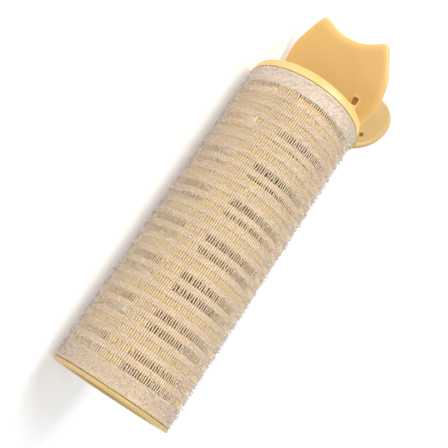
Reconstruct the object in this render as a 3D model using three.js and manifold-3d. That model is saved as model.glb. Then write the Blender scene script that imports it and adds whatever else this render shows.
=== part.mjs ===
// Self-grip hair roller with a built-in spring clip, in millimetres.
//
// A perforated barrel carries a sleeve of hook net between two end collars. At one end a clip
// grips the wound hair: a fixed thumb plate with two ears, whose tongue is fastened inside the
// barrel, and a hinged jaw with a round thumb tab, which a torsion spring holds shut.
//
// The roller is drawn upright: z runs up its axis from the open end to the clip end, x runs
// along the hinge pin, and y points from the axis to the clip. At the end it is laid on its
// side, resting on the sleeve and on the edge of the round tab.
import * as THREE from 'three';
import Module from 'manifold-3d';
import { mergeVertices } from 'three/addons/utils/BufferGeometryUtils.js';

const wasm = await Module();
wasm.setup();

// ---------------------------------------------------------------- driving dimensions
const GAP = 0.3; // between pieces that touch
const ROLLER_LENGTH = 100.4;
const ROLLER_RADIUS = 18; // over the hook net
const ROUND_SEGMENTS = 64;
const FACET_ANGLE = 0.14; // of a curved cut

const BARREL = { outer: 17, inner: 15.6, start: 1.3, end: 97.3 };
const WINDOWS = {
	columns: 4, rows: 8, pitch: 11.89, first: 5.6, height: 6.2, rib: THREE.MathUtils.degToRad(22),
};
const COLLAR = { outer: 17.8, inner: 14.6, skirt: 1.3, skirtLength: 4.5, openFlange: 1, clipFlange: 2.8 };
const HINGE_PIN = { radius: 1, length: 26.8, bore: 1.3 };
const LUG = { radius: 3, width: 2.2, fixedCentre: 9.5, movingCentre: 12 };
const LUG_STAND_OFF = 5.2; // from the middle of each plate to the hinge axis

const PLATE_ORIGIN_Z = 100.3; // where the two plates are measured from
const FIXED_PLATE = { y: 17, lean: THREE.MathUtils.degToRad(-25), thickness: 3 };
const TONGUE = { y: 14.3, length: 25, thickness: 2, halfWidth: 8.6 };
const EARS = { height: 33.6, halfWidth: 11.6, bite: 4.5, rounding: 2.5, roundFrom: 0.78 };
const PLATE_HOLE = { a: 9.5, b: 12.9, width: 1.9, height: 2.3 };
const ROUND_TAB = {
	y: 23, lean: THREE.MathUtils.degToRad(28.6), thickness: 2.6,
	halfWidth: ROLLER_RADIUS, middle: 17.9, halfHeight: 18, power: 2.26,
};
const TAB_HOLE = { a: 12.4, b: 10.9, width: 1.4, height: 2.2 };
const JAW = { tip: 6, radius: 20.1, thickness: 1.8, halfWidth: 15.6, neck: 10.6, shoulder: 13.2 };
const JAW_PANELS = { count: 8, first: 16, pitch: 10.2, height: 6, from: 0.1, to: 0.6, depth: 0.6 };
const SPRING = { wire: 0.45, coil: 2.85, turns: 4, pitch: 1.45, leg: 11 };

// ---------------------------------------------------------------- solids and cuts
function toSolid(geometry) {
	const bare = new THREE.BufferGeometry();
	bare.setAttribute('position', geometry.getAttribute('position'));
	bare.setIndex(geometry.getIndex());
	const merged = mergeVertices(bare, 1e-4);
	const triVerts = new Uint32Array(merged.getIndex().array);
	const vertProperties = new Float32Array(merged.getAttribute('position').array);
	const solid = new wasm.Manifold(new wasm.Mesh({ numProp: 3, vertProperties, triVerts }));
	if (solid.volume() > 0) return solid;
	for (let i = 0; i < triVerts.length; i += 3) {
		[triVerts[i], triVerts[i + 1]] = [triVerts[i + 1], triVerts[i]];
	}
	return new wasm.Manifold(new wasm.Mesh({ numProp: 3, vertProperties, triVerts }));
}

function toMesh(name, solid, material) {
	const { vertProperties, triVerts } = solid.getMesh();
	const geometry = new THREE.BufferGeometry();
	geometry.setAttribute('position', new THREE.BufferAttribute(new Float32Array(vertProperties), 3));
	geometry.setIndex(new THREE.BufferAttribute(new Uint32Array(triVerts), 1));
	geometry.computeVertexNormals();
	const mesh = new THREE.Mesh(geometry, material);
	mesh.name = name;
	return mesh;
}

// A ring round the z axis. The profile is a closed list of [radius, z].
function ring(profile) {
	const points = [...profile, profile[0]].map(([radius, z]) => new THREE.Vector2(radius, z));
	const geometry = new THREE.LatheGeometry(points, ROUND_SEGMENTS);
	geometry.rotateX(Math.PI / 2);
	return toSolid(geometry);
}

function tube(inner, outer, from, to) {
	return ring([[inner, from], [outer, from], [outer, to], [inner, to]]);
}

// A piece of a tube, from angle a0 to a1 measured from +y towards -x.
function sector(inner, outer, from, to, a0, a1) {
	const shape = new THREE.Shape();
	const quarter = Math.PI / 2;
	shape.absarc(0, 0, outer, quarter + a0, quarter + a1, false);
	shape.absarc(0, 0, inner, quarter + a1, quarter + a0, true);
	const curveSegments = Math.max(2, Math.round((a1 - a0) / FACET_ANGLE));
	const geometry = new THREE.ExtrudeGeometry(shape, { depth: to - from, bevelEnabled: false, curveSegments });
	geometry.translate(0, 0, from);
	return toSolid(geometry);
}

// A cylinder along x, its middle at (x, y, z).
function crossPin(radius, length, { x = 0, y, z }, sides = 24) {
	const geometry = new THREE.CylinderGeometry(radius, radius, length, sides).rotateZ(Math.PI / 2);
	return toSolid(geometry.translate(x, y, z));
}

// ---------------------------------------------------------------- plates that bend
// A strip's middle line in the plane x = 0: up the roller, then an arc, then straight along a lean.
// Distance b along the leaning part is 0 where that part's line crosses PLATE_ORIGIN_Z.
class Spine {
	constructor({ y, lean }, straightY, arcRadius) {
		this.origin = new THREE.Vector2(y, PLATE_ORIGIN_Z);
		this.along = new THREE.Vector2(Math.sin(lean), Math.cos(lean));
		this.out = new THREE.Vector2(Math.cos(lean), -Math.sin(lean));
		this.lean = lean;
		this.arcRadius = arcRadius;
		this.tangent = arcRadius * Math.tan(Math.abs(lean) / 2);
		this.corner = (straightY - y) / Math.sin(lean); // b where the two straight lines would meet
		this.arcEnd = this.corner + this.tangent;
		this.arcStart = this.arcEnd - arcRadius * Math.abs(lean);
	}

	at(b, off = 0) {
		return this.origin.clone().addScaledVector(this.along, b).addScaledVector(this.out, off);
	}

	frame(b) {
		const turned = THREE.MathUtils.clamp((this.arcEnd - b) / this.arcRadius, 0, Math.abs(this.lean));
		const lean = this.lean - Math.sign(this.lean) * turned;
		const along = new THREE.Vector2(Math.sin(lean), Math.cos(lean));
		const out = new THREE.Vector2(Math.cos(lean), -Math.sin(lean));
		if (b >= this.arcEnd) return { point: this.at(b), along, out };
		const side = Math.sign(this.lean);
		const centre = this.at(this.arcEnd).addScaledVector(this.out, side * this.arcRadius);
		const point = centre.addScaledVector(out, -side * this.arcRadius);
		if (b < this.arcStart) point.y += b - this.arcStart;
		return { point, along, out };
	}
}

const RIM_STEPS = 3;
const rimAngles = Array.from({ length: RIM_STEPS }, (_, i) => (i / RIM_STEPS) * (Math.PI / 2));

// A plate with fully rounded edges, wrapped round a spine. root and tip are its ends along b,
// crest(u) is the far edge from u = -1 to 1, and halfWidth, curl and thickness depend on b.
function bentPlate({ spine, root, tip, crest, halfWidth, curl, thickness, rowStep, columns }) {
	const rows = [];
	for (const angle of rimAngles) rows.push({ root: true, angle });
	const middleRows = Math.round((tip - root) / rowStep);
	for (let i = 0; i <= middleRows; i++) rows.push({ share: i / middleRows });
	for (const angle of [...rimAngles].reverse()) rows.push({ angle });

	const across = rimAngles.map((angle) => ({ side: -1, angle }));
	for (let i = 0; i <= columns; i++) across.push({ share: (2 * i) / columns - 1 });
	for (const angle of [...rimAngles].reverse()) across.push({ side: 1, angle });

	const grid = rows.map((row) => across.map((column) => {
		const edgeB = row.root ? root : tip;
		const round = thickness(edgeB) / 2;
		const inset = row.share === undefined ? round * (1 - Math.cos(row.angle)) : round;
		const alongB = (far) => {
			if (row.root) return root + inset;
			if (row.share === undefined) return far - inset;
			return THREE.MathUtils.lerp(root + thickness(root) / 2, far - thickness(tip) / 2, row.share);
		};
		const width = halfWidth(alongB(tip));
		const half = thickness(alongB(tip)) / 2;
		const a = column.share === undefined
			? column.side * (width - half * (1 - Math.cos(column.angle)))
			: column.share * (width - half);
		const b = alongB(crest(a / width));
		const endRise = row.share === undefined ? Math.sin(row.angle) : 1;
		const sideRise = column.share === undefined ? Math.sin(column.angle) : 1;
		return wrap(spine.frame(b), a, curl(b), half * endRise * sideRise);
	}));

	const positions = [];
	const index = [];
	const rim = (i, j) => i === 0 || j === 0 || i === grid.length - 1 || j === across.length - 1;
	const ids = [1, -1].map((face) => grid.map((line, i) => line.map(({ middle, normal, rise }, j) => {
		const shared = face < 0 && rim(i, j);
		const point = middle.clone().addScaledVector(normal, face * (rim(i, j) ? 0 : rise));
		positions.push(point.x, point.y, point.z);
		return shared ? i * across.length + j : positions.length / 3 - 1;
	})));
	ids.forEach((face, back) => {
		for (let i = 0; i + 1 < grid.length; i++) {
			for (let j = 0; j + 1 < across.length; j++) {
				const [p, q, r, s] = [face[i][j], face[i][j + 1], face[i + 1][j + 1], face[i + 1][j]];
				index.push(...(back ? [p, r, q, p, s, r] : [p, q, r, p, r, s]));
			}
		}
	});
	const geometry = new THREE.BufferGeometry();
	geometry.setAttribute('position', new THREE.Float32BufferAttribute(positions, 3));
	geometry.setIndex(index);
	return toSolid(geometry);
}

// The point at distance a across a strip that curls round the roller's side with curvature curl.
function wrap({ point, out }, a, curl, rise) {
	const angle = a * curl;
	const x = Math.abs(curl) < 1e-6 ? a : Math.sin(angle) / curl;
	const drop = Math.abs(curl) < 1e-6 ? 0 : (1 - Math.cos(angle)) / curl;
	const middle = new THREE.Vector3(x, point.x - drop * out.x, point.y - drop * out.y);
	const normal = new THREE.Vector3(Math.sin(angle), Math.cos(angle) * out.x, Math.cos(angle) * out.y);
	return { middle, normal, rise };
}

const smooth = (value, from, to) => THREE.MathUtils.smoothstep(value, from, to);
const blend = (value, from, to, low, high) => THREE.MathUtils.lerp(low, high, smooth(value, from, to));

// ---------------------------------------------------------------- the hinge
const fixedSpine = new Spine(FIXED_PLATE, TONGUE.y, 9);
const jawSpine = new Spine(ROUND_TAB, JAW.radius, 12);

// The hinge axis stands the same distance off the middle of both plates.
function hingeAxis() {
	const a = fixedSpine.out;
	const b = jawSpine.out.clone().negate();
	const gap = ROUND_TAB.y - FIXED_PLATE.y;
	const determinant = a.x * b.y - a.y * b.x;
	const s = (LUG_STAND_OFF * b.y - (LUG_STAND_OFF + gap * b.x) * a.y) / determinant;
	const t = (a.x * (LUG_STAND_OFF + gap * b.x) - b.x * LUG_STAND_OFF) / determinant;
	return { y: FIXED_PLATE.y + s, z: PLATE_ORIGIN_Z + t };
}
const HINGE = hingeAxis();

// A lug from a plate's middle, between two distances along it, to a round nose on the hinge axis.
// sink sets its lower foot deeper, where the plate curls away from its middle line.
function lug(spine, towards, x, footFrom, footTo, sink = 0) {
	const nose = new THREE.Vector2(HINGE.y, HINGE.z);
	const out = spine.out.clone().multiplyScalar(towards);
	const outline = [spine.at(footFrom, -sink)];
	const reach = THREE.MathUtils.degToRad(100);
	for (let i = 0; i <= 14; i++) {
		const angle = THREE.MathUtils.lerp(-reach, reach, i / 14);
		outline.push(nose.clone()
			.addScaledVector(out, LUG.radius * Math.cos(angle))
			.addScaledVector(spine.along, LUG.radius * Math.sin(angle)));
	}
	outline.push(spine.at(footTo));
	const shape = new THREE.Shape(outline);
	const geometry = new THREE.ExtrudeGeometry(shape, { depth: LUG.width, bevelEnabled: false });
	// the outline was drawn in (y, z), so the extrusion's own axes turn to y, z and x
	geometry.applyMatrix4(new THREE.Matrix4().makeBasis(
		new THREE.Vector3(0, 1, 0), new THREE.Vector3(0, 0, 1), new THREE.Vector3(1, 0, 0)));
	return toSolid(geometry.translate(x - LUG.width / 2, 0, 0));
}

// A rectangular hole in a plate, centred at a across it and b along it, between two depths.
function plateHole(spine, { a, b, width, height }, from, to) {
	const { point, along, out } = spine.frame(b);
	const geometry = new THREE.BoxGeometry(width, to - from, height).translate(0, (from + to) / 2, 0);
	geometry.applyMatrix4(new THREE.Matrix4().makeBasis(
		new THREE.Vector3(1, 0, 0), new THREE.Vector3(0, out.x, out.y), new THREE.Vector3(0, along.x, along.y)));
	return toSolid(geometry.translate(a, point.x, point.y));
}

// ---------------------------------------------------------------- the pieces
function barrel() {
	let body = tube(BARREL.inner, BARREL.outer, BARREL.start, BARREL.end);
	const pitchAngle = (2 * Math.PI) / WINDOWS.columns;
	for (let row = 0; row < WINDOWS.rows; row++) {
		const from = WINDOWS.first + row * WINDOWS.pitch;
		for (let column = 0; column < WINDOWS.columns; column++) {
			const start = column * pitchAngle + WINDOWS.rib / 2;
			const end = (column + 1) * pitchAngle - WINDOWS.rib / 2;
			body = body.subtract(sector(BARREL.inner - 1, BARREL.outer + 1, from, from + WINDOWS.height, start, end));
		}
	}
	return body;
}

function hookSleeve() {
	return tube(BARREL.outer + GAP, ROLLER_RADIUS, BARREL.start, BARREL.end);
}

// A flange over the barrel's end with a skirt that plugs into its bore.
function openEndCollar() {
	const { outer, inner, skirt, skirtLength, openFlange } = COLLAR;
	const plug = BARREL.inner - GAP;
	const round = 0.3;
	return ring([
		[inner, 0], [outer - round, 0], [outer, round], [outer, openFlange],
		[plug, openFlange], [plug, openFlange + skirtLength], [plug - skirt, openFlange + skirtLength],
		[plug - skirt, openFlange],
	]);
}

function clipEndCollar() {
	const { outer, inner, skirt, skirtLength, clipFlange } = COLLAR;
	const plug = BARREL.inner - GAP;
	const bottom = ROLLER_LENGTH - clipFlange;
	const crown = (outer - inner) / 2;
	const profile = [
		[plug - skirt, bottom - skirtLength], [plug, bottom - skirtLength], [plug, bottom], [outer, bottom],
	];
	for (let i = 0; i <= 8; i++) {
		const angle = (i / 8) * Math.PI;
		profile.push([inner + crown + crown * Math.cos(angle), ROLLER_LENGTH - crown + crown * Math.sin(angle)]);
	}
	profile.push([inner, bottom + GAP], [plug - skirt, bottom - GAP]);
	const halfAngle = (TONGUE.halfWidth + 2 * GAP) / TONGUE.y;
	const clear = TONGUE.y + FIXED_PLATE.thickness / 2 + GAP;
	return ring(profile).subtract(sector(5, clear, 0, ROLLER_LENGTH + 1, -halfAngle, halfAngle));
}

function fixedPlate() {
	const sides = new THREE.CubicInterpolant(
		[-TONGUE.length, 0, 2, 4, 6, 8.4, 10.8, 13.5, 17, 20, 22.6, 25.5, 28.5, 31, EARS.height],
		[TONGUE.halfWidth, TONGUE.halfWidth, 9.2, 10.6, 12.3, 13.9, 15, 15.95, 16.5, 16.45, 16.15, 15.35,
			14.05, 12.9, EARS.halfWidth], 1);
	const { thickness } = FIXED_PLATE;
	let body = bentPlate({
		spine: fixedSpine,
		root: -TONGUE.length,
		tip: EARS.height,
		crest: (u) => {
			const tipShare = Math.max(0, (Math.abs(u) - EARS.roundFrom) / (1 - EARS.roundFrom));
			return EARS.height - EARS.bite * (1 - u * u) - EARS.rounding * tipShare ** 2;
		},
		halfWidth: (b) => sides.evaluate(b)[0],
		curl: (b) => blend(b, 2, 8.4, 1 / TONGUE.y, 0),
		thickness: (b) => blend(b, 0, 5, TONGUE.thickness, thickness),
		rowStep: 3,
		columns: 12,
	});
	for (const side of [-1, 1]) {
		body = body.add(lug(fixedSpine, 1, side * LUG.fixedCentre, 3, 21, 4.4));
		body = body.add(snapBoss(side));
		const hole = { ...PLATE_HOLE, a: side * PLATE_HOLE.a };
		body = body.subtract(plateHole(fixedSpine, hole, -thickness, thickness / 2));
	}
	return body.subtract(crossPin(HINGE_PIN.bore, HINGE_PIN.length + 4, HINGE));
}

// A boss on the tongue that snaps into the last window of the barrel.
function snapBoss(side) {
	const from = WINDOWS.first + (WINDOWS.rows - 1) * WINDOWS.pitch + GAP;
	const angles = [side * 0.3, side * 0.52].sort((p, q) => p - q);
	return sector(TONGUE.y, BARREL.outer - 0.2, from, from + WINDOWS.height - 2 * GAP, ...angles);
}

function outerJaw() {
	const { halfWidth, middle, halfHeight, power } = ROUND_TAB;
	const superellipse = (offset, limit, size) => size * (1 - Math.abs(offset / limit) ** power) ** (1 / power);
	const corner = middle + halfHeight * 0.5 ** (1 / power);
	const cornerHalfWidth = halfWidth * 0.5 ** (1 / power);
	const jawRoot = JAW.tip - PLATE_ORIGIN_Z;
	const tipRound = 11;
	const { thickness } = ROUND_TAB;
	let body = bentPlate({
		spine: jawSpine,
		root: jawRoot,
		tip: corner,
		crest: (u) => middle + superellipse(u * cornerHalfWidth, halfWidth, halfHeight),
		halfWidth: (b) => {
			const tab = superellipse(Math.max(b, 0) - middle, halfHeight, halfWidth);
			const fromTip = Math.max(0, 1 - (b - jawRoot) / tipRound);
			const jaw = JAW.halfWidth * Math.sqrt(1 - 0.75 * fromTip ** 2);
			const shoulder = blend(b, -2, 5, 0, JAW.shoulder);
			return Math.max(blend(b, -20, -9, jaw, JAW.neck), shoulder, b > 0 ? tab : 0);
		},
		curl: (b) => blend(b, -14, -3, 1 / JAW.radius, 0),
		thickness: (b) => blend(b, -8, 0, JAW.thickness, thickness),
		rowStep: 3,
		columns: 8,
	});
	const panelFloor = JAW.radius + JAW.thickness / 2 - JAW_PANELS.depth;
	for (let i = 0; i < JAW_PANELS.count; i++) {
		const z = JAW_PANELS.first + i * JAW_PANELS.pitch;
		for (const side of [-1, 1]) {
			const ends = [side * JAW_PANELS.from, side * JAW_PANELS.to].sort((p, q) => p - q);
			body = body.subtract(sector(panelFloor, JAW.radius + 3, z, z + JAW_PANELS.height, ...ends));
		}
		const ribStart = z + JAW_PANELS.height + 1.1;
		body = body.add(sector(JAW.radius - 1.5, JAW.radius, ribStart, ribStart + 1.2, -0.55, 0.55));
	}
	for (const side of [-1, 1]) {
		body = body.add(lug(jawSpine, -1, side * LUG.movingCentre, 2.5, 9.5));
		body = body.subtract(plateHole(jawSpine, { ...TAB_HOLE, a: side * TAB_HOLE.a }, -thickness, thickness));
	}
	return body.subtract(crossPin(HINGE_PIN.bore, HINGE_PIN.length + 4, HINGE));
}

function hingePin() {
	return crossPin(HINGE_PIN.radius, HINGE_PIN.length, HINGE);
}

// Legs along the backs of both plates, joined by a coil round the pin.
function torsionSpring() {
	const { wire, coil, turns, pitch, leg } = SPRING;
	const startAngle = Math.atan2(-fixedSpine.out.y, -fixedSpine.out.x);
	const endOut = jawSpine.out;
	const endAngle = Math.atan2(endOut.y, endOut.x) + 2 * Math.PI * turns;
	const sweep = endAngle - startAngle;
	const width = (sweep / (2 * Math.PI)) * pitch;
	const onCoil = (angle) => new THREE.Vector3(
		((angle - startAngle) / sweep - 0.5) * width,
		HINGE.y + coil * Math.cos(angle),
		HINGE.z + coil * Math.sin(angle));
	const along = (spine) => new THREE.Vector3(0, spine.along.x, spine.along.y);
	const points = [];
	for (const share of [1, 0.75, 0.5, 0.25, 0.1]) {
		points.push(onCoil(startAngle).addScaledVector(along(fixedSpine), leg * share));
	}
	const steps = Math.round(sweep / (Math.PI / 8));
	for (let i = 0; i <= steps; i++) points.push(onCoil(startAngle + (sweep * i) / steps));
	for (const share of [0.1, 0.25, 0.5, 0.75, 1]) {
		points.push(onCoil(endAngle).addScaledVector(along(jawSpine), leg * share));
	}
	const section = new THREE.Shape();
	section.absarc(0, 0, wire, 0, 2 * Math.PI, false);
	return toSolid(new THREE.ExtrudeGeometry(section, {
		steps: points.length - 1,
		curveSegments: 4,
		extrudePath: new THREE.CatmullRomCurve3(points),
	}));
}

// ---------------------------------------------------------------- materials
const yellow = new THREE.MeshStandardMaterial({ color: 0xf3c56f, roughness: 0.42, metalness: 0 });
const yellowBarrel = new THREE.MeshStandardMaterial({ color: 0xe9b95c, roughness: 0.5, metalness: 0 });
const nylon = new THREE.MeshStandardMaterial({ color: 0xe7cfbb, roughness: 0.75, metalness: 0 });
const steel = new THREE.MeshStandardMaterial({ color: 0xb9bcc0, roughness: 0.3, metalness: 1 });

// ---------------------------------------------------------------- the assembly
const upright = new THREE.Group();
upright.add(
	toMesh('barrel', barrel(), yellowBarrel),
	toMesh('open_end_collar', openEndCollar(), yellow),
	toMesh('clip_end_collar', clipEndCollar(), yellow),
	toMesh('hook_sleeve', hookSleeve(), nylon),
	toMesh('cat_ear_plate', fixedPlate(), yellow),
	toMesh('outer_jaw', outerJaw(), yellow),
	toMesh('hinge_pin', hingePin(), steel),
	toMesh('torsion_spring', torsionSpring(), steel),
);

// Laid on its side: the axis along -x, the hinge pin upright, the clip towards +y, and the
// origin on the table under the middle of the bounding box.
upright.rotation.y = -Math.PI / 2;
const roller = new THREE.Group();
roller.add(upright);
roller.updateMatrixWorld(true);
const extent = new THREE.Box3().setFromObject(roller, true);
const middle = extent.getCenter(new THREE.Vector3());
upright.position.set(-middle.x, -middle.y, -extent.min.z);
roller.updateMatrixWorld(true);

export default roller;
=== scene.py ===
import math
import bmesh
import bpy
import numpy as np
from mathutils import Matrix, Vector


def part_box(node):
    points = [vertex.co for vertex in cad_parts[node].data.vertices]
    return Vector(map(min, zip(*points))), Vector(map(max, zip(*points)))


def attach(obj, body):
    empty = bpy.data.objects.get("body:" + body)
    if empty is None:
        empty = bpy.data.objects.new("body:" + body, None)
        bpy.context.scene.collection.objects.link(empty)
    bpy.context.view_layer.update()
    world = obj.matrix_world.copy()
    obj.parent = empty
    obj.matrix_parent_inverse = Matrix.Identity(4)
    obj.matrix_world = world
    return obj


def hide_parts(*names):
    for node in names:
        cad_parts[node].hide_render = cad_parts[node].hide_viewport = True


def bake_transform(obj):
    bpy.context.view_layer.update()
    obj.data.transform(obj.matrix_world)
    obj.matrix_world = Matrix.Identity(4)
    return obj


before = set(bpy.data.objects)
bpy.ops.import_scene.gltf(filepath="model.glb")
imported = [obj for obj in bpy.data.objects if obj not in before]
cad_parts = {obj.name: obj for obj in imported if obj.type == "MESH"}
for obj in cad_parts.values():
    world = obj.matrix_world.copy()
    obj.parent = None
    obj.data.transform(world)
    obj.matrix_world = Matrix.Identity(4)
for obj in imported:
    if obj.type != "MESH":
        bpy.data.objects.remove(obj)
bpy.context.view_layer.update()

# A self-grip hair roller lying on its side. Objects are in metres in the CAD's frame: the roller's
# axis runs along X with the clip towards -X, and the clip faces +Y. Shapes are drawn in the
# roller's own millimetres, as (x, y, z): x along the hinge pin, y from the axis to the clip, and
# z up the axis from the open end.

MM = 0.001
TURN = 2 * math.pi
barrel_low, barrel_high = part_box("barrel")
AXIS_Y = (barrel_low.y + barrel_high.y) / 2
AXIS_Z = (barrel_low.z + barrel_high.z) / 2
OPEN_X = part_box("open_end_collar")[1].x  # the flat face of the open end
rng = np.random.default_rng(7)


def placed(points):
    """Roller coordinates in mm as places in metres."""
    x, y, z = np.moveaxis(np.asarray(points, float), -1, 0)
    return np.stack([OPEN_X - z * MM, AXIS_Y + y * MM, AXIS_Z + x * MM], axis=-1)


def round_axis(z, angle, radius):
    """Roller coordinates at an angle from the clip's side towards +x."""
    z, angle, radius = np.broadcast_arrays(z, angle, radius)
    return np.stack([radius * np.sin(angle), radius * np.cos(angle), z], axis=-1)


def blend(value, start, end, low, high):
    """Goes smoothly from low to high as value goes from start to end."""
    share = np.clip((np.asarray(value, float) - start) / (end - start), 0, 1)
    return low + (high - low) * share * share * (3 - 2 * share)


def up_roller(x):
    """How far a place is from the open end, in mm."""
    return (OPEN_X - x) / MM


# ---------------------------------------------------------------- camera, light and floor

CAMERA_DISTANCE = 235.2            # mm from the roller's axis
CAMERA_BEYOND = 6.28               # mm past the open end
CAMERA_RAISED = math.radians(18)   # round the axis, from level
CAMERA_TILT = math.radians(14.72)  # towards the clip's end
CAMERA_ROLL = math.radians(33.69)
LENS = 70.79


def make_camera():
    out = Vector((0, -math.cos(CAMERA_RAISED), math.sin(CAMERA_RAISED)))
    along = Vector((-1, 0, 0))
    look = along * math.sin(CAMERA_TILT) - out * math.cos(CAMERA_TILT)
    level_up = (along - look * along.dot(look)).normalized()
    level_right = look.cross(level_up)
    right = level_right * math.cos(CAMERA_ROLL) + level_up * math.sin(CAMERA_ROLL)
    up = right.cross(look)
    data = bpy.data.cameras.new("camera")
    data.lens, data.sensor_width = LENS, 36
    data.clip_start, data.clip_end = 0.01, 60
    camera = bpy.data.objects.new("camera", data)
    bpy.context.scene.collection.objects.link(camera)
    camera.matrix_world = Matrix((right, up, -look)).transposed().to_4x4()
    beyond = Vector((OPEN_X + CAMERA_BEYOND * MM, AXIS_Y, AXIS_Z))
    camera.location = beyond + out * CAMERA_DISTANCE * MM
    bpy.context.scene.camera = camera


KEY_FROM = (-0.53, -0.52, 0.67)    # above the clip's end, on the camera's side
KEY_STRENGTH = 2.2
KEY_SPREAD = math.radians(36)
SKY_LOW, SKY_HIGH = 1.03, 0.62     # brightness near the horizon and overhead


def make_light():
    """A pale sky that is brightest near the horizon, and one broad sun."""
    scene = bpy.context.scene
    scene.view_settings.view_transform = "Standard"
    world = bpy.data.worlds.new("studio")
    world.use_nodes = True
    tree = world.node_tree
    direction = tree.nodes.new("ShaderNodeTexCoord")
    parts = tree.nodes.new("ShaderNodeSeparateXYZ")
    tree.links.new(direction.outputs["Generated"], parts.inputs["Vector"])
    sky = colours(tree, parts.outputs["Z"], [(0.3, (SKY_LOW,) * 3), (0.6, (SKY_HIGH,) * 3)])
    tree.links.new(sky, tree.nodes["Background"].inputs["Color"])
    scene.world = world

    data = bpy.data.lights.new("key", "SUN")
    data.energy, data.angle = KEY_STRENGTH, KEY_SPREAD
    key = bpy.data.objects.new("key", data)
    scene.collection.objects.link(key)
    key.rotation_euler = Vector(KEY_FROM).to_track_quat("Z", "Y").to_euler()


def make_floor():
    """A disc whose rings are closer together near the middle."""
    sides, rings, reach = 96, 8, 30.0  # reach in metres
    angle = TURN * np.arange(sides) / sides
    radius = reach * (np.arange(1, rings + 1) / rings) ** 3
    ring = np.stack([radius[:, None] * np.cos(angle), radius[:, None] * np.sin(angle),
                     np.zeros((rings, sides))], axis=-1).reshape(-1, 3)
    grid = 1 + np.arange(rings * sides).reshape(rings, sides)
    faces = [(0, int(a), int(b)) for a, b in zip(grid[0], np.roll(grid[0], -1))]
    faces += quads(grid, closed=True)
    mesh = bpy.data.meshes.new("floor")
    mesh.from_pydata([(0, 0, 0)] + ring.tolist(), [], faces)
    mesh.materials.append(plain_floor())
    floor = bpy.data.objects.new("floor", mesh)
    bpy.context.scene.collection.objects.link(floor)


# ---------------------------------------------------------------- materials


def new_material(name, roughness, **inputs):
    m = bpy.data.materials.new(name)
    m.use_nodes = True
    shader = m.node_tree.nodes["Principled BSDF"]
    shader.inputs["Roughness"].default_value = roughness
    for key, value in inputs.items():
        shader.inputs[key.replace("_", " ")].default_value = value
    return m, m.node_tree, shader


def colours(tree, factor, stops):
    """A colour ramp. stops is a list of (factor, colour)."""
    ramp = tree.nodes.new("ShaderNodeValToRGB")
    while len(ramp.color_ramp.elements) < len(stops):
        ramp.color_ramp.elements.new(0.5)
    for element, (place, colour) in zip(ramp.color_ramp.elements, stops):
        element.position, element.color = place, (*colour, 1)
    tree.links.new(factor, ramp.inputs["Fac"])
    return ramp.outputs["Color"]


def multiplied(tree, first, second):
    """The product of two colours."""
    mix = tree.nodes.new("ShaderNodeMix")
    mix.data_type, mix.blend_type = "RGBA", "MULTIPLY"
    mix.inputs[0].default_value = 1
    tree.links.new(first, mix.inputs[6])
    tree.links.new(second, mix.inputs[7])
    return mix.outputs[2]


def calculated(tree, operation, first, second=0.0, third=0.0):
    """The result of a sum on numbers, each a float or another node's output."""
    node = tree.nodes.new("ShaderNodeMath")
    node.operation = operation
    for value, socket in zip((first, second, third), node.inputs):
        if isinstance(value, float):
            socket.default_value = value
        else:
            tree.links.new(value, socket)
    return node.outputs[0]


def noise(tree, scale, detail=3.0, rough=0.5, stretch=(1, 1, 1)):
    """Smooth noise with about scale lumps to the metre, squeezed along each axis by stretch."""
    place = tree.nodes.new("ShaderNodeTexCoord")
    scaled = tree.nodes.new("ShaderNodeMapping")
    scaled.inputs["Scale"].default_value = stretch
    tree.links.new(place.outputs["Object"], scaled.inputs["Vector"])
    n = tree.nodes.new("ShaderNodeTexNoise")
    n.inputs["Scale"].default_value = scale
    n.inputs["Detail"].default_value = detail
    n.inputs["Roughness"].default_value = rough
    tree.links.new(scaled.outputs["Vector"], n.inputs["Vector"])
    return n.outputs["Fac"]


def bump(tree, shader, height, strength, distance):
    b = tree.nodes.new("ShaderNodeBump")
    b.inputs["Strength"].default_value = strength
    b.inputs["Distance"].default_value = distance
    tree.links.new(height, b.inputs["Height"])
    tree.links.new(b.outputs["Normal"], shader.inputs["Normal"])


# the darker and the lighter shade that each material clouds between
FLOOR_GREY = (0.72, 0.72, 0.72), (0.74, 0.74, 0.74)
CLIP_YELLOW = (0.74, 0.455, 0.14), (0.79, 0.50, 0.165)
# a darker copy of the clip's plastic, painted shade for the jaw, tab and open ring
SHADED_JAW_YELLOW = (0.50, 0.33, 0.11), (0.55, 0.37, 0.13)
# darker than the clip's plastic, painted shade on the barrel under the net
BARREL_SHADED_YELLOW = (0.60, 0.40, 0.15), (0.66, 0.45, 0.18)
# painted shade inside the bore
BORE_SHADE_YELLOW = (0.50, 0.26, 0.045), (0.58, 0.31, 0.06)
# painted shade on the tongue deep in the barrel
TONGUE_SHADE_BROWN = (0.22, 0.13, 0.03), (0.28, 0.16, 0.04)
WEAVE_PEACH = (0.88, 0.66, 0.43), (0.98, 0.78, 0.53)
OPEN_HEM_PEACH = (0.62, 0.47, 0.31), (0.74, 0.58, 0.40)
CLIP_HEM_PEACH = (0.75, 0.60, 0.44), (0.85, 0.71, 0.55)
LADDER_CREAM = (0.89, 0.72, 0.45), (0.99, 0.865, 0.61)
HOOK_PINK = (0.64, 0.51, 0.49), (1.0, 0.97, 1.0)
STEEL_GREY = (0.42, 0.43, 0.45), (0.62, 0.63, 0.65)

WHITE = (1, 1, 1)
EDGE_HIGHLIGHT_TINT = (1.13, 1.2, 1.35)  # painted highlight: multiplies a plastic's colour on an edge
GAP_SHADE_TINT = (0.62, 0.58, 0.5)   # painted shade: multiplies the net's colour between two yarns


def clouded(tree, shades, pattern, spread=0.2):
    """A colour that drifts between two shades with a pattern, most quickly round its middle."""
    return colours(tree, pattern, [(0.5 - spread, shades[0]), (0.5 + spread, shades[1])])


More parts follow.
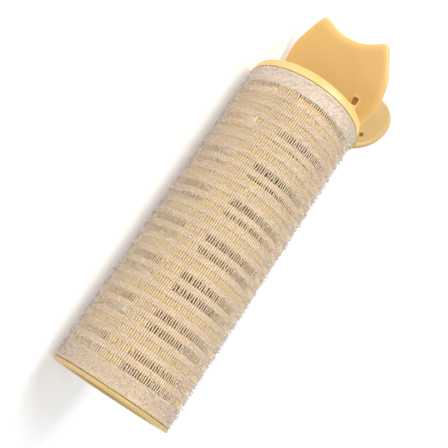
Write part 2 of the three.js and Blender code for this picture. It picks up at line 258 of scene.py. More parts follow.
def plain_floor():
    m, tree, shader = new_material("pale_floor", 0.8, Specular_IOR_Level=0.1, Emission_Strength=0.45)
    base = clouded(tree, FLOOR_GREY, noise(tree, 40))
    tree.links.new(base, shader.inputs["Base Color"])
    tree.links.new(base, shader.inputs["Emission Color"])
    return m


def moulded_plastic(name, shades, roughness=0.36):
    """Slightly clouded plastic, with a painted highlight that makes its edges paler."""
    m, tree, shader = new_material(name, roughness, Subsurface_Weight=0.2, Subsurface_Scale=0.0015)
    shader.inputs["Subsurface Radius"].default_value = (1, 0.6, 0.25)
    # painted highlight: edges, found by pointiness, are made paler
    edge = tree.nodes.new("ShaderNodeNewGeometry").outputs["Pointiness"]
    edge_highlight = colours(tree, edge, [(0.503, WHITE), (0.535, EDGE_HIGHLIGHT_TINT)])
    base = multiplied(tree, clouded(tree, shades, noise(tree, 90, 4)), edge_highlight)
    tree.links.new(base, shader.inputs["Base Color"])
    bump(tree, shader, noise(tree, 1600, 2), 0.12, 0.0001)
    return m


def on_yarns(tree):
    """1 on each of the yarns that run along the roller, 0 halfway between two."""
    place = tree.nodes.new("ShaderNodeTexCoord").outputs["Object"]
    parts = tree.nodes.new("ShaderNodeSeparateXYZ")
    tree.links.new(place, parts.inputs["Vector"])
    across = calculated(tree, "SUBTRACT", parts.outputs["Z"], AXIS_Z)
    out = calculated(tree, "SUBTRACT", parts.outputs["Y"], AXIS_Y)
    angle = calculated(tree, "ARCTAN2", across, out)
    wave = calculated(tree, "COSINE", calculated(tree, "MULTIPLY", angle, float(YARNS)))
    return calculated(tree, "MULTIPLY_ADD", wave, -0.5, 0.5)


def nylon(name, shades, alpha, roughness=0.5, ribbed=False):
    """Fine nylon that lets some light past. ribbed paints shade on it between the yarns."""
    m, tree, shader = new_material(name, roughness, Sheen_Weight=0.6, Sheen_Roughness=0.3, Alpha=alpha)
    base = clouded(tree, shades, noise(tree, 2500, 3, 0.6), 0.1)
    if ribbed:
        base = multiplied(tree, base, colours(tree, on_yarns(tree), [(0.1, GAP_SHADE_TINT), (0.6, WHITE)]))
    tree.links.new(base, shader.inputs["Base Color"])
    bump(tree, shader, noise(tree, 6000, 2), 0.3, 0.00005)
    return m


def drawn_steel():
    m, tree, shader = new_material("drawn_steel", 0.28, Metallic=1)
    tree.links.new(clouded(tree, STEEL_GREY, noise(tree, 500, 3)), shader.inputs["Base Color"])
    bump(tree, shader, noise(tree, 4000, 2, stretch=(1, 1, 0.05)), 0.2, 0.00005)
    return m


# ---------------------------------------------------------------- mesh helpers


def quads(grid, closed=False):
    """Faces of a grid of vertex numbers, its columns closed into a ring or not."""
    a, d = grid[:-1], grid[1:]
    if closed:
        b, c = np.roll(a, -1, 1), np.roll(d, -1, 1)
    else:
        a, b, c, d = a[:, :-1], a[:, 1:], d[:, 1:], d[:, :-1]
    return np.stack([a, b, c, d], -1).reshape(-1, 4).tolist()


def new_mesh(points, faces):
    mesh = bpy.data.meshes.new("shape")
    mesh.from_pydata(placed(points).reshape(-1, 3).tolist(), [], faces)
    return mesh


def piece(name, mesh, material, body="roller"):
    mesh.name = name
    mesh.polygons.foreach_set("use_smooth", [True] * len(mesh.polygons))
    mesh.materials.clear()
    mesh.materials.append(material)
    obj = bpy.data.objects.new(name, mesh)
    bpy.context.scene.collection.objects.link(obj)
    if body:
        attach(obj, body)
    return obj


def tidied(mesh, weld=1e-7):
    """Welds the seams and turns the faces outwards."""
    work = bmesh.new()
    work.from_mesh(mesh)
    bmesh.ops.remove_doubles(work, verts=work.verts, dist=weld)
    bmesh.ops.recalc_face_normals(work, faces=work.faces)
    work.to_mesh(mesh)
    work.free()
    return mesh


def tubes(points, binormal, radius, sides, flat=1.0):
    """Closed tubes along many curves, points (n, k, 3). Each curve lies about square to its
    binormal; radius broadcasts to (n, k), and flat narrows the tube across the binormal."""
    n, k, _ = points.shape
    tangent = np.gradient(points, axis=1)
    tangent /= np.linalg.norm(tangent, axis=2, keepdims=True)
    across = np.cross(tangent, binormal[:, None])
    across /= np.linalg.norm(across, axis=2, keepdims=True)
    side = np.cross(across, tangent)
    phi = TURN * np.arange(sides) / sides
    r = np.broadcast_to(radius, (n, k))[:, :, None, None]
    ring = points[:, :, None] + r * (
        flat * across[:, :, None] * np.cos(phi)[:, None] + side[:, :, None] * np.sin(phi)[:, None]
    )
    index = np.arange(n * k * sides).reshape(n, k, sides)
    low, high = index[:, :-1], index[:, 1:]
    walls = np.stack([low, np.roll(low, -1, 2), np.roll(high, -1, 2), high], -1).reshape(-1, 4)
    ends = np.concatenate([index[:, 0, ::-1], index[:, -1]])
    return ring.reshape(-1, 3), walls.tolist() + ends.tolist()


def revolved(profile, steps, relief=0.0):
    """A closed profile, (radius, z), turned round the axis. relief adds to the radius."""
    r, z = np.array(profile, float).T
    angle = TURN * np.arange(steps) / steps
    points = round_axis(z[:, None], angle, r[:, None] + relief)
    grid = np.arange(len(r) * steps).reshape(len(r), steps)
    return points.reshape(-1, 3), quads(np.concatenate([grid, grid[:1]]), closed=True)


def merged(parts):
    points, faces, start = [], [], 0
    for p, f in parts:
        points.append(np.asarray(p).reshape(-1, 3))
        faces += [[i + start for i in face] for face in f]
        start += len(points[-1])
    return np.concatenate(points), faces


def prism(outline, low, high):
    """A closed outline, (y, z), from x = low to x = high."""
    n = len(outline)
    points = [(x, y, z) for x in (low, high) for y, z in outline]
    sides = [(i, (i + 1) % n, n + (i + 1) % n, n + i) for i in range(n)]
    return points, sides + [tuple(range(n))[::-1], tuple(range(n, 2 * n))]


def sector(inner, outer, start, end, a0, a1, steps=8):
    """A piece of a tube between two angles, with flat ends."""
    angle = np.linspace(a0, a1, steps + 1)
    corners = [(inner, start), (outer, start), (outer, end), (inner, end)]
    points = [round_axis(z, angle, r) for r, z in corners]
    grid = np.arange(4 * (steps + 1)).reshape(4, steps + 1)
    faces = quads(np.concatenate([grid, grid[:1]]))
    return np.concatenate(points), faces + [tuple(grid[:, 0][::-1].tolist()), tuple(grid[:, -1].tolist())]


def applied(mesh, settings):
    """The mesh with modifiers applied. settings is a list of (kind, values)."""
    obj = bpy.data.objects.new("work", mesh)
    bpy.context.scene.collection.objects.link(obj)
    for kind, values in settings:
        modifier = obj.modifiers.new(kind, kind)
        for key, value in values.items():
            setattr(modifier, key, value)
    result = bpy.data.meshes.new_from_object(obj.evaluated_get(bpy.context.evaluated_depsgraph_get()))
    bpy.data.objects.remove(obj)
    return result


def moulded(solids, cutters, voxel, rounding=4, keep=0.5):
    """Closed solids joined, with the cutters taken out, and every edge softened as a moulding's is."""
    cut = None
    if cutters:
        cut = bpy.data.objects.new("cutter", tidied(new_mesh(*merged(cutters))))
        bpy.context.scene.collection.objects.link(cut)
    work = bmesh.new()
    for solid in solids:
        mesh = tidied(new_mesh(*solid))
        if cut:
            mesh = applied(mesh, [("BOOLEAN", dict(operation="DIFFERENCE", solver="EXACT", object=cut))])
        work.from_mesh(mesh)
    joined = bpy.data.meshes.new("joined")
    work.to_mesh(joined)
    work.free()
    if cut:
        bpy.data.objects.remove(cut)
    return applied(joined, [
        ("REMESH", dict(mode="VOXEL", voxel_size=voxel * MM)),
        ("SMOOTH", dict(factor=0.5, iterations=rounding)),
        ("DECIMATE", dict(ratio=keep)),
    ])


# ---------------------------------------------------------------- the net sleeve

YARNS = 160                # round the roller
BAND_PITCH = 3.838         # one open band and one woven band
OPEN_HEIGHT = 1.84
OPEN_BANDS = 23
FIRST_OPEN = 7.28          # from the open end to the middle of the first open band
NET_INNER = 17.04
NET_OUTER = 17.36
HEM = dict(width=1.5, height=0.3)
WEAVE = dict(row=0.33, rib=0.08, checker=0.03, uneven=0.015)
LADDER = dict(radius=17.2, half_width=0.175, flat=0.6, lap=0.2)
HOOK = dict(tip=18.35, row=1.05, step=0.5, scatter=0.25, turn=0.008, lean=0.4, sunk=0.12, clear=0.07)
# a hook's middle line rises and reaches sideways by these shares of its height, and thins to its tip
HOOK_RISE = np.array([0, 0.6, 0.94, 0.98, 0.78])
HOOK_REACH = np.array([0, 0, 0.08, 0.26, 0.36])
HOOK_THICK = np.array([0.09, 0.09, 0.08, 0.06, 0.04])
NET_PAST = 0.2             # how far the net runs past both ends of the CAD's sleeve
NET_START = up_roller(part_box("hook_sleeve")[1].x) - NET_PAST
NET_END = up_roller(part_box("hook_sleeve")[0].x) + NET_PAST


def woven_bands():
    """(start, end) of each dense band, from the open end."""
    bands, start = [], NET_START
    for k in range(OPEN_BANDS):
        middle = FIRST_OPEN + k * BAND_PITCH
        bands.append((start, middle - OPEN_HEIGHT / 2))
        start = middle + OPEN_HEIGHT / 2
    bands.append((start, NET_END))
    return bands


def hem(z):
    """How much the net stands up next to the collars."""
    width, height = HEM["width"], HEM["height"]
    return blend(z, NET_START, NET_START + width, height, 0) + blend(z, NET_END - width, NET_END, 0, height)


def make_bands():
    """The woven bands, ribbed by their yarns, with the two at the ends a little denser."""
    steps = 2 * YARNS
    bands, parts = woven_bands(), []
    for start, end in bands:
        rows = max(6, round((end - start) / WEAVE["row"]) + 1)
        z = np.linspace(start, end, rows)
        outer = [(NET_OUTER - WEAVE["rib"], h) for h in z]
        outer[0], outer[-1] = [(NET_OUTER - WEAVE["rib"] - 0.1, h) for h in (z[0], z[-1])]
        inner = [(NET_INNER, end - 0.05), (NET_INNER, (start + end) / 2), (NET_INNER, start + 0.05)]
        column = np.arange(steps) % 2
        checker = (np.arange(rows)[:, None] + column) % 2
        relief = np.zeros((rows + 3, steps))
        relief[:rows] = (WEAVE["rib"] * column + WEAVE["checker"] * checker
                         + rng.normal(0, WEAVE["uneven"], (rows, steps)))
        relief[:rows] += hem(z)[:, None]
        parts.append(revolved(outer + inner, steps, relief))
    # ribbed paints shade between the yarns
    weave = nylon("woven_nylon", WEAVE_PEACH, 0.7, ribbed=True)
    obj = piece("woven_bands", new_mesh(*merged(parts)), weave)
    obj.data.materials.append(nylon("open_hem_nylon", OPEN_HEM_PEACH, 0.8))
    obj.data.materials.append(nylon("clip_hem_nylon", CLIP_HEM_PEACH, 0.85))
    for face in obj.data.polygons:
        z = up_roller(face.center.x)
        face.material_index = 1 if z < bands[0][1] else 2 if z > bands[-1][0] else 0
    return obj


def make_ladder():
    """The flat yarns that cross the open bands."""
    n = YARNS * OPEN_BANDS
    angle = np.repeat(TURN * (np.arange(YARNS) + 0.5) / YARNS, OPEN_BANDS) + rng.normal(0, 0.0025, n)
    middle = np.tile(FIRST_OPEN + np.arange(OPEN_BANDS) * BAND_PITCH, YARNS)
    share = np.array([-1, -0.35, 0.35, 1])
    z = middle[:, None] + share * (OPEN_HEIGHT / 2 + LADDER["lap"])
    radius = LADDER["radius"] + rng.normal(0, 0.015, n)[:, None] + np.array([0, 0.03, 0.03, 0])
    path = round_axis(z, angle[:, None] + rng.normal(0, 0.004, n)[:, None] * share, radius)
    thick = LADDER["half_width"] * (1 + rng.normal(0, 0.07, n))[:, None] * np.array([1, 0.92, 0.92, 1])
    round_it = np.cross(round_axis(0, angle, 1.0), (0, 0, 1.0))
    yarns = new_mesh(*tubes(path, round_it, thick, 5, LADDER["flat"]))
    return piece("ladder_yarns", yarns, nylon("ladder_nylon", LADDER_CREAM, 0.8))


def hook_roots():
    """Where the hooks stand, as (z, angle): in rows on every yarn of the woven bands, and in two
    sparser rows on the ladder yarns of each open band."""
    z, angle = [], []
    for k in range(OPEN_BANDS):
        for side in (-1, 1):
            z.append(np.full(YARNS // 2, FIRST_OPEN + k * BAND_PITCH + side * HOOK["step"]))
            angle.append(TURN * (np.arange(YARNS // 2) + 0.5 + side / 4) / (YARNS // 2))
    for start, end in woven_bands():
        rows = max(2, round((end - start) / HOOK["row"]))
        for r in range(rows):
            z.append(np.full(YARNS, start + (end - start) * (r + 0.5) / rows))
            angle.append(TURN * (np.arange(YARNS) + 0.5) / YARNS)
    return np.concatenate(z), np.concatenate(angle)


def make_hooks():
    """Cut loops of monofilament, each with its own height, lean and turn, in three pieces."""
    z, angle = hook_roots()
    n = len(z)
    z = np.clip(z + rng.normal(0, HOOK["scatter"], n), NET_START, NET_END)
    angle += rng.normal(0, HOOK["turn"], n)
    yaw = rng.uniform(0, TURN, n)
    root = round_axis(z, angle, NET_OUTER - HOOK["sunk"] + hem(z))
    out = round_axis(0, angle, 1.0)
    round_it = np.cross(out, (0, 0, 1.0))
    axis = np.array([0, 0, 1.0])
    lean = rng.normal(0, HOOK["lean"], (n, 2))
    up = out + axis * lean[:, :1] + round_it * lean[:, 1:]
    up /= np.linalg.norm(up, axis=1, keepdims=True)
    side = axis * np.cos(yaw)[:, None] + round_it * np.sin(yaw)[:, None]
    side -= up * (side * up).sum(1, keepdims=True)
    side /= np.linalg.norm(side, axis=1, keepdims=True)
    height = (HOOK["tip"] - NET_OUTER + HOOK["sunk"] - hem(z)) * rng.uniform(0.3, 1.05, n)
    path = (root[:, None] + up[:, None] * (height[:, None] * HOOK_RISE)[..., None]
            + side[:, None] * (height[:, None] * HOOK_REACH)[..., None])
    floor = -AXIS_Z / MM + HOOK["clear"]  # under the roller the pile is pressed flat
    path[..., 0] = np.maximum(path[..., 0], floor)
    shine = nylon("hook_nylon", HOOK_PINK, 0.9, 0.15)
    made = []
    for k, part in enumerate(np.array_split(np.argsort(z), 3)):
        mesh = new_mesh(*tubes(path[part], np.cross(up, side)[part], HOOK_THICK, 3))
        made.append(piece(f"hooks_{k + 1}", mesh, shine))
    return made


# ---------------------------------------------------------------- the barrel and its collars

BARREL = dict(outer=17.0, inner=15.6, start=1.3, end=97.3)
WINDOWS = dict(rows=8, columns=4, pitch=11.89, first=5.6, height=6.2, rib=math.radians(22))


def window_outline(half_s, half_t, radius, per_s, per_t):
    """A rounded rectangle's points, starting at a corner's middle, with the same number a side as
    the plain rectangle that radius 0 gives."""
    points = []
    for (cs, ct), (ds, dt), count in (((-1, -1), (1, 0), per_s), ((1, -1), (0, 1), per_t),
                                      ((1, 1), (-1, 0), per_s), ((-1, 1), (0, -1), per_t)):
        half = half_s if ds else half_t
        for i in range(count):
            share = i / count
            p = np.array([cs * half_s, ct * half_t]) + np.array([ds, dt]) * 2 * half * share
            inner = np.array([half_s - radius, half_t - radius])
            over = np.abs(p) - inner
            if radius and (over > 0).all():
                p = np.sign(p) * (inner + radius * over / np.linalg.norm(over))
            points.append(p)
    return np.array(points)


def make_barrel(material, bore):
    """A tube made of one cell for each window, painted darker inside as the shade in its bore."""
    fillet, corner, per_s, per_t = 0.3, 1.0, 28, 10
    outer, inner = BARREL["outer"], BARREL["inner"]
    half_cell = math.pi / WINDOWS["columns"]
    half_open = half_cell - WINDOWS["rib"] / 2
    parts = []
    for row in range(WINDOWS["rows"]):
        start = WINDOWS["first"] + row * WINDOWS["pitch"]
        middle = start + WINDOWS["height"] / 2
        rib = (WINDOWS["pitch"] - WINDOWS["height"]) / 2
        low = BARREL["start"] if row == 0 else start - rib
        high = BARREL["end"] if row == WINDOWS["rows"] - 1 else start + WINDOWS["height"] + rib
        cell = window_outline(half_cell * outer, (high - low) / 2, 0, per_s, per_t)
        cell[:, 1] += (high + low) / 2
        grown = [window_outline(half_open * outer + g, WINDOWS["height"] / 2 + g, corner, per_s, per_t)
                 + (0, middle) for g in (fillet, 0.3 * fillet, 0)]
        loops = [(cell, outer), ((cell + grown[0]) / 2, outer), (grown[0], outer),
                 (grown[1], outer - 0.3 * fillet), (grown[2], outer - fillet),
                 (grown[2], inner + fillet), (grown[1], inner + 0.3 * fillet), (grown[0], inner),
                 ((cell + grown[0]) / 2, inner), (cell, inner)]
        for column in range(WINDOWS["columns"]):
            turn = (column + 0.5) * 2 * half_cell
            points = [round_axis(p[:, 1], turn + p[:, 0] / outer, r) for p, r in loops]
            grid = np.arange(len(loops) * len(cell)).reshape(len(loops), -1)
            faces = quads(grid, closed=True)
            ends = []
            if row == 0:
                ends = [(grid[0, i], grid[0, i + 1], grid[-1, i + 1], grid[-1, i]) for i in range(per_s)]
            if row == WINDOWS["rows"] - 1:
                far = range(per_s + per_t, 2 * per_s + per_t)
                ends = [(grid[0, i], grid[0, i + 1], grid[-1, i + 1], grid[-1, i]) for i in far]
            parts.append((np.concatenate(points), faces + [tuple(int(i) for i in e) for e in ends]))
    mesh = tidied(new_mesh(*merged(parts)), 1e-6)
    obj = piece("barrel_shell", mesh, material)
    mesh.materials.append(bore)
    for face in mesh.polygons:
        across = Vector((face.center.y - AXIS_Y, face.center.z - AXIS_Z))
        # the inside and the window walls take the bore's painted shade
        face.material_index = int(across.length / MM < outer - fillet)
    return obj


def make_collar(name, profile, material, notch=None):
    """A ring turned from its profile, (radius, z), with an optional cutter."""
    mesh = tidied(new_mesh(*revolved(profile, 192)))
    if notch:
        cutter = bpy.data.objects.new("notch", tidied(new_mesh(*notch)))
        bpy.context.scene.collection.objects.link(cutter)
        mesh = applied(mesh, [("BOOLEAN", dict(operation="DIFFERENCE", solver="EXACT", object=cutter))])
        bpy.data.objects.remove(cutter)
    obj = piece(name, mesh, material)
    mesh.set_sharp_from_angle(angle=math.radians(40))
    return obj


def rounded(profile, radius, steps=4):
    """A closed profile with its corners rounded."""
    p = np.array(profile, float)
    result = []
    for before, corner, after in zip(np.roll(p, 1, 0), p, np.roll(p, -1, 0)):
        to, on = before - corner, after - corner
        reach = min(radius, 0.45 * np.linalg.norm(to), 0.45 * np.linalg.norm(on))
        a = corner + to / np.linalg.norm(to) * reach
        b = corner + on / np.linalg.norm(on) * reach
        for share in np.linspace(0, 1, steps):
            result.append((1 - share) ** 2 * a + 2 * share * (1 - share) * corner + share ** 2 * b)
    return result


LENGTH = 100.4
COLLAR = dict(outer=17.8, inner=14.6, plug=15.3, skirt=1.3, skirt_length=4.5, rounding=0.35,
              open_flange=1.0, clip_flange=2.8, play=0.3)


def make_collars(material, shaded_plastic):
    """The rings at both ends, each with a skirt that plugs the bore. The one at the clip's end has
    a round crown, and a notch for the tongue."""
    c = COLLAR
    thin = c["plug"] - c["skirt"]
    top = c["open_flange"]
    skirt_end = top + c["skirt_length"]
    open_profile = [(c["inner"], 0), (c["outer"], 0), (c["outer"], top), (c["plug"], top),
                    (c["plug"], skirt_end), (thin, skirt_end), (thin, top)]
    # the open ring takes the darker copy, painted shade
    open_ring = make_collar("open_ring", rounded(open_profile, c["rounding"]), shaded_plastic)

    bottom = LENGTH - c["clip_flange"]
    crown = (c["outer"] - c["inner"]) / 2
    half_turn = np.linspace(0, math.pi, 16)
    dome = np.stack([c["inner"] + crown + crown * np.cos(half_turn),
                     LENGTH - crown + crown * np.sin(half_turn)], -1)
    skirt_end = bottom - c["skirt_length"]
    profile = [(thin, skirt_end), (c["plug"], skirt_end), (c["plug"], bottom), (c["outer"], bottom), *dome,
               (c["inner"], bottom + c["play"]), (thin, bottom - c["play"])]
    half_notch = (TONGUE["half_width"] + 2 * c["play"]) / TONGUE["y"]
    clear = TONGUE["y"] + FIXED["thickness"] / 2 + c["play"]
    notch = sector(5, clear, 0, LENGTH + 1, -half_notch, half_notch, 24)
    return open_ring, make_collar("clip_ring", profile, material, notch)


# ---------------------------------------------------------------- plates that bend


def natural_spline(x, y, where):
    """A smooth curve through points, as a cubic spline."""
    x, y = np.array(x, float), np.array(y, float)
    h = np.diff(x)
    system, right = np.eye(len(x)), np.zeros(len(x))
    for i in range(1, len(x) - 1):
        system[i, i - 1:i + 2] = h[i - 1], 2 * (h[i - 1] + h[i]), h[i]
        right[i] = 3 * ((y[i + 1] - y[i]) / h[i] - (y[i] - y[i - 1]) / h[i - 1])
    c = np.linalg.solve(system, right)
    i = np.clip(np.searchsorted(x, where) - 1, 0, len(h) - 1)
    s = where - x[i]
    b = np.diff(y)[i] / h[i] - h[i] * (2 * c[i] + c[i + 1]) / 3
    return y[i] + b * s + c[i] * s ** 2 + (c[i + 1] - c[i]) / (3 * h[i]) * s ** 3


PLATE_ORIGIN = 100.3  # z where both plates are measured from

# The fixed plate leans out from the tongue inside the barrel to the ears.
FIXED = dict(y=17, lean=math.radians(-25), thickness=3)
TONGUE = dict(y=14.3, length=25, thickness=2, half_width=8.6)
BOSS = dict(start=0.3, end=0.52, play=0.3)  # a snap on the tongue, between two angles
EARS = dict(height=33.6, bite=4.5, rounding=2.5, round_from=0.78, soft=1.7)
# how far up the plate, and its half width there
EAR_SIDES = ([-25, 0, 2, 4, 6, 8.4, 10.8, 13.5, 17, 20, 22.6, 25.5, 28.5, 31, 33.6],
             [8.6, 8.6, 9.2, 10.6, 12.3, 13.9, 15, 15.95, 16.5, 16.45, 16.15, 15.35, 14.05, 12.9, 11.6])
SIDE_B = np.linspace(-25, 33.6, 240)
SIDE_A = natural_spline(*EAR_SIDES, SIDE_B)
PLATE_HOLE = dict(a=9.5, b=12.9, width=1.9, height=2.3)

# The moving plate is a round tab and a jaw that lies on the net down to its tip.
TAB = dict(y=23, lean=math.radians(28.6), thickness=2.6, half_width=18, middle=17.9, half_height=18,
           power=2.26)
TAB_HOLE = dict(a=12.4, b=10.9, width=1.4, height=2.2)
JAW = dict(tip=6, radius=20.1, thickness=1.8, half_width=15.6, neck=10.6, shoulder=13.2, tip_round=11)
PANELS = dict(count=8, first=16, pitch=10.2, height=6, start=0.1, end=0.6, depth=0.6)
JAW_RIB = dict(after=1.1, width=1.2, depth=1.5, half_turn=0.55)

STAND_OFF = 5.2       # from the hinge to either plate
LUG = dict(radius=3, width=2.2, fixed=9.5, moving=12)
PIN = dict(radius=1, length=26.8, dome=0.4, bore=1.3)
SPRING = dict(wire=0.45, coil=2.85, turns=4, pitch=1.45, leg=11)


class Spine:
    """A strip's middle line at x = 0, as (y, z): up the roller, round an arc, then straight along a
    lean. b is the distance along the straight part, from where it crosses PLATE_ORIGIN."""

    def __init__(self, plate, straight_y, arc):
        self.origin = np.array([plate["y"], PLATE_ORIGIN])
        self.lean, self.arc = plate["lean"], arc
        self.along = np.array([math.sin(self.lean), math.cos(self.lean)])
        self.out = np.array([math.cos(self.lean), -math.sin(self.lean)])
        corner = (straight_y - plate["y"]) / math.sin(self.lean)
        self.arc_end = corner + arc * math.tan(abs(self.lean) / 2)
        self.arc_start = self.arc_end - arc * abs(self.lean)

    def at(self, b, off=0.0):
        return self.origin + self.along * b + self.out * off

    def frame(self, b):
        """The point on the middle line and the way out from it, for many distances."""
        side = math.copysign(1, self.lean)
        lean = self.lean - side * np.clip((self.arc_end - b) / self.arc, 0, abs(self.lean))
        out = np.stack([np.cos(lean), -np.sin(lean)], -1)
        point = self.at(self.arc_end) + side * self.arc * (self.out - out)
        point = point + np.maximum(b - self.arc_end, 0)[..., None] * self.along
        point[..., 1] += np.minimum(b - self.arc_start, 0)
        return point, out


fixed_spine = Spine(FIXED, TONGUE["y"], 9)
jaw_spine = Spine(TAB, JAW["radius"], 12)
gap = np.array([TAB["y"] - FIXED["y"], 0])
reach = np.linalg.solve(np.stack([fixed_spine.along, -jaw_spine.along], -1),
                        gap - STAND_OFF * (jaw_spine.out + fixed_spine.out))
HINGE = fixed_spine.at(reach[0], STAND_OFF)


def bent_plate(spine, root, tip, crest, half_width, curl, thickness, soft, step=0.8, columns=40):
    """A plate with rounded edges, wrapped round a spine. root and tip are its ends along b, crest(u)
    is the far edge from u = -1 to 1, and half_width, curl, thickness and soft depend on b. The
    edges round off over soft times half the thickness."""
    full = math.pi / 2
    rim = np.linspace(0, full, 6)[:-1]
    rows = round((tip - root) / step)
    share = np.concatenate([0 * rim, np.linspace(0, 1, rows + 1), 0 * rim + 1])
    near = np.concatenate([rim, np.full(rows + 1 + len(rim), full)])
    far = np.concatenate([np.full(rows + 1 + len(rim), full), rim[::-1]])
    across = np.concatenate([0 * rim - 1, np.linspace(-1, 1, columns + 1), 0 * rim + 1])
    edge = np.concatenate([rim, np.full(columns + 1, full), rim[::-1]])

    def distance(end):
        low = root + thickness(root) / 2 * (1 - np.cos(near))
        low, at_share, turn = low[:, None], share[:, None], far[:, None]
        high = end - soft(tip) * thickness(tip) / 2 * (1 - np.cos(turn))
        return low + (high - low) * at_share

    plain = distance(tip)
    width, half = half_width(plain), thickness(plain) / 2
    a = across * (width - soft(plain) * half * (1 - np.cos(edge)))
    b = distance(crest(a / width))
    rise = half * np.sin(near)[:, None] * np.sin(far)[:, None] * np.sin(edge)
    point, out = spine.frame(b)
    angle = a * curl(b)
    x = a * np.sinc(angle / math.pi)
    drop = a * np.sin(angle / 2) * np.sinc(angle / TURN)
    middle = np.stack([x, point[..., 0] - drop * out[..., 0], point[..., 1] - drop * out[..., 1]], -1)
    normal = np.stack([np.sin(angle), np.cos(angle) * out[..., 0], np.cos(angle) * out[..., 1]], -1)
    faces = [middle + side * normal * rise[..., None] for side in (1, -1)]
    grid = np.arange(rise.size).reshape(rise.shape)
    return np.concatenate([f.reshape(-1, 3) for f in faces]), quads(grid) + quads(grid + rise.size)


def plate_box(spine, a, b, width, height, low, high):
    """A box square to a plate at a across it and b along it, between two heights over its middle."""
    point, out = spine.frame(np.array(b, float))
    along = np.array([-out[1], out[0]])
    corners = [point + along * s + out * t for s, t in
               ((-height / 2, low), (height / 2, low), (height / 2, high), (-height / 2, high))]
    return prism(corners, a - width / 2, a + width / 2)


def lug(spine, towards, x, foot_start, foot_end, sink=0.0):
    """A plate's lug round the hinge, on a foot between two distances along the plate."""
    out = spine.out * towards
    angle = np.radians(np.linspace(-100, 100, 32))
    nose = HINGE + LUG["radius"] * (np.cos(angle)[:, None] * out + np.sin(angle)[:, None] * spine.along)
    outline = [spine.at(foot_start, -sink), *nose, spine.at(foot_end)]
    return prism(outline, x - LUG["width"] / 2, x + LUG["width"] / 2)


def pin_bore(sides=48):
    """A rod as thick as the hinge's bore, through all four lugs."""
    angle = TURN * np.arange(sides) / sides
    outline = HINGE + PIN["bore"] * np.stack([np.cos(angle), np.sin(angle)], -1)
    return prism(outline, -16, 16)


def make_ear_plate(material, tongue):
    """The fixed plate. The part of its tongue that lies inside the barrel is painted dark as shade."""
    def crest(u):
        past = np.maximum(0, (np.abs(u) - EARS["round_from"]) / (1 - EARS["round_from"]))
        return EARS["height"] - EARS["bite"] * (1 - u * u) - EARS["rounding"] * past ** 2

    plate = bent_plate(
        fixed_spine, -TONGUE["length"], EARS["height"], crest,
        half_width=lambda b: np.interp(b, SIDE_B, SIDE_A),
        curl=lambda b: blend(b, 2, 8.4, 1 / TONGUE["y"], 0),
        thickness=lambda b: blend(b, 0, 5, TONGUE["thickness"], FIXED["thickness"]),
        soft=lambda b: blend(b, 0, 5, 1, EARS["soft"]),
    )
    solids, cutters = [plate], [pin_bore()]
    start = WINDOWS["first"] + (WINDOWS["rows"] - 1) * WINDOWS["pitch"] + BOSS["play"]
    end = start + WINDOWS["height"] - 2 * BOSS["play"]
    for side in (-1, 1):
        solids.append(lug(fixed_spine, 1, side * LUG["fixed"], foot_start=3, foot_end=21, sink=4.4))
        solids.append(sector(TONGUE["y"], BARREL["outer"] - 0.2, start, end,
                             *sorted((side * BOSS["start"], side * BOSS["end"]))))
        h = PLATE_HOLE
        cutters.append(plate_box(fixed_spine, side * h["a"], h["b"], h["width"], h["height"],
                                 -FIXED["thickness"], 0.3))
    obj = piece("ear_plate", moulded(solids, cutters, voxel=0.24), material)
    obj.data.materials.append(tongue)
    # the tongue's faces inside the barrel take the painted shade
    clear = AXIS_Y + (TONGUE["y"] + 1.5) * MM
    for face in obj.data.polygons:
        face.material_index = int(up_roller(face.center.x) < BARREL["end"] and face.center.y < clear)
    return obj


def make_jaw(material):
    """The moving plate, whose jaw has panels sunk in its outside and ribs across its inside."""
    t, root = TAB, JAW["tip"] - PLATE_ORIGIN
    corner = 0.5 ** (1 / t["power"])

    def superellipse(offset, limit, size):
        return size * (1 - np.minimum(np.abs(offset / limit), 1) ** t["power"]) ** (1 / t["power"])

    def half_width(b):
        tab = superellipse(np.maximum(b, 0) - t["middle"], t["half_height"], t["half_width"])
        from_tip = np.maximum(0, 1 - (b - root) / JAW["tip_round"])
        strap = blend(b, -20, -9, JAW["half_width"] * np.sqrt(1 - 0.75 * from_tip ** 2), JAW["neck"])
        shoulder = blend(b, -2, 5, 0, JAW["shoulder"])
        return np.maximum(np.maximum(strap, shoulder), np.where(b > 0, tab, 0))

    def far_edge(u):
        return t["middle"] + superellipse(u * t["half_width"] * corner, t["half_width"], t["half_height"])

    plate = bent_plate(
        jaw_spine, root, t["middle"] + t["half_height"] * corner, far_edge, half_width,
        curl=lambda b: blend(b, -14, -3, 1 / JAW["radius"], 0),
        thickness=lambda b: blend(b, -8, 0, JAW["thickness"], t["thickness"]),
        soft=lambda b: blend(b, 0, 5, 1, 1.2),
    )
    solids, cutters = [plate], [pin_bore()]
    r, floor = JAW_RIB, JAW["radius"] + JAW["thickness"] / 2 - PANELS["depth"]
    for i in range(PANELS["count"]):
        z = PANELS["first"] + i * PANELS["pitch"]
        rib = z + PANELS["height"] + r["after"]
        solids.append(sector(JAW["radius"] - r["depth"], JAW["radius"], rib, rib + r["width"],
                             -r["half_turn"], r["half_turn"], 24))
        for side in (-1, 1):
            ends = sorted((side * PANELS["start"], side * PANELS["end"]))
            cutters.append(sector(floor, JAW["radius"] + 3, z, z + PANELS["height"], *ends, 12))
    for side in (-1, 1):
        solids.append(lug(jaw_spine, -1, side * LUG["moving"], foot_start=2.5, foot_end=9.5))
        h = TAB_HOLE
        cutters.append(plate_box(jaw_spine, side * h["a"], h["b"], h["width"], h["height"],
                                 -t["thickness"], t["thickness"]))
    return piece("jaw_and_tab", moulded(solids, cutters, voxel=0.28), material, "jaw")


# ---------------------------------------------------------------- the pin and the spring


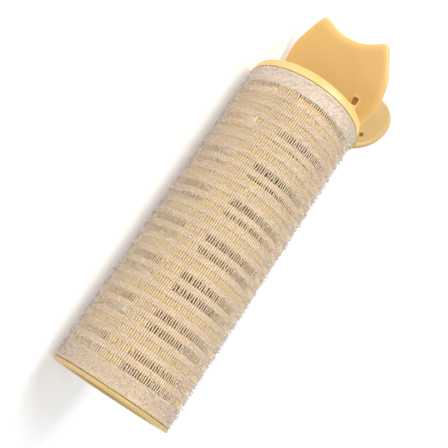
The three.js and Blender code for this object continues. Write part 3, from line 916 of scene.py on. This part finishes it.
def make_pin(material):
    """A rod with domed ends."""
    half, radius = PIN["length"] / 2, PIN["radius"]
    dome = np.sin(np.linspace(0.12, math.pi / 2, 8))
    rise = PIN["dome"] * (1 - np.cos(np.arcsin(dome)))
    x = np.concatenate([rise - half, half - rise[::-1]])
    thick = radius * np.concatenate([dome, dome[::-1]])
    path = np.stack([x, np.full(len(x), HINGE[0]), np.full(len(x), HINGE[1])], -1)
    mesh = new_mesh(*tubes(path[None], np.array([[0, 0, 1.0]]), thick[None], 48))
    obj = piece("pin_rod", mesh, material)
    mesh.set_sharp_from_angle(angle=math.radians(50))
    return obj


def make_spring(material):
    """A coil round the pin with a leg along each plate."""
    s = SPRING
    start = math.atan2(-fixed_spine.out[1], -fixed_spine.out[0])
    end = math.atan2(jaw_spine.out[1], jaw_spine.out[0]) + TURN * s["turns"]
    width = (end - start) / TURN * s["pitch"]

    def on_coil(angle):
        x = ((angle - start) / (end - start) - 0.5) * width
        y, z = HINGE[0] + s["coil"] * np.cos(angle), HINGE[1] + s["coil"] * np.sin(angle)
        return np.stack([x, y, z], -1)

    def leg(angle, along, shares):
        return on_coil(np.full(len(shares), angle)) + s["leg"] * shares[:, None] * np.array([0, *along])

    shares = np.linspace(0.05, 1, 12)
    coil = on_coil(np.linspace(start, end, 200))
    path = np.concatenate([leg(start, fixed_spine.along, shares[::-1]), coil,
                           leg(end, jaw_spine.along, shares)])
    wire = new_mesh(*tubes(path[None], np.array([[1.0, 0, 0]]), s["wire"], 16))
    obj = piece("spring_wire", wire, material, None)
    middle = Vector(placed([0, *HINGE]))
    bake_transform(obj)
    return obj


# ---------------------------------------------------------------- put together

make_camera()
make_light()
make_floor()
clip_plastic = moulded_plastic("clip_plastic", CLIP_YELLOW)
# the jaw's plastic is the clip's plastic painted darker as shade
shaded_jaw_plastic = moulded_plastic("shaded_jaw_plastic", SHADED_JAW_YELLOW)
# the barrel's plastic is painted darker as the shade under the net
barrel_plastic = moulded_plastic("barrel_plastic", BARREL_SHADED_YELLOW, 0.45)
bore_shade_plastic = moulded_plastic("bore_shade_plastic", BORE_SHADE_YELLOW, 0.5)
tongue_shade_plastic = moulded_plastic("tongue_shade_plastic", TONGUE_SHADE_BROWN, 0.5)
steel = drawn_steel()

barrel = make_barrel(barrel_plastic, bore_shade_plastic)
open_ring, clip_ring = make_collars(clip_plastic, shaded_jaw_plastic)
ear_plate, jaw = make_ear_plate(clip_plastic, tongue_shade_plastic), make_jaw(shaded_jaw_plastic)
pin, spring = make_pin(steel), make_spring(steel)
bands, ladder, hooks = make_bands(), make_ladder(), make_hooks()

for obj, node, finish in (
    (barrel, "barrel", "barrel_plastic"), (open_ring, "open_end_collar", "yellow_plastic"),
    (clip_ring, "clip_end_collar", "yellow_plastic"), (ear_plate, "cat_ear_plate", "yellow_plastic"),
    (jaw, "outer_jaw", "yellow_plastic"), (pin, "hinge_pin", "steel"), (spring, "torsion_spring", "steel"),
    (bands, "hook_sleeve", "hook_net"),
):
    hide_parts(node)
woven_height = sum(end - start for start, end in woven_bands())
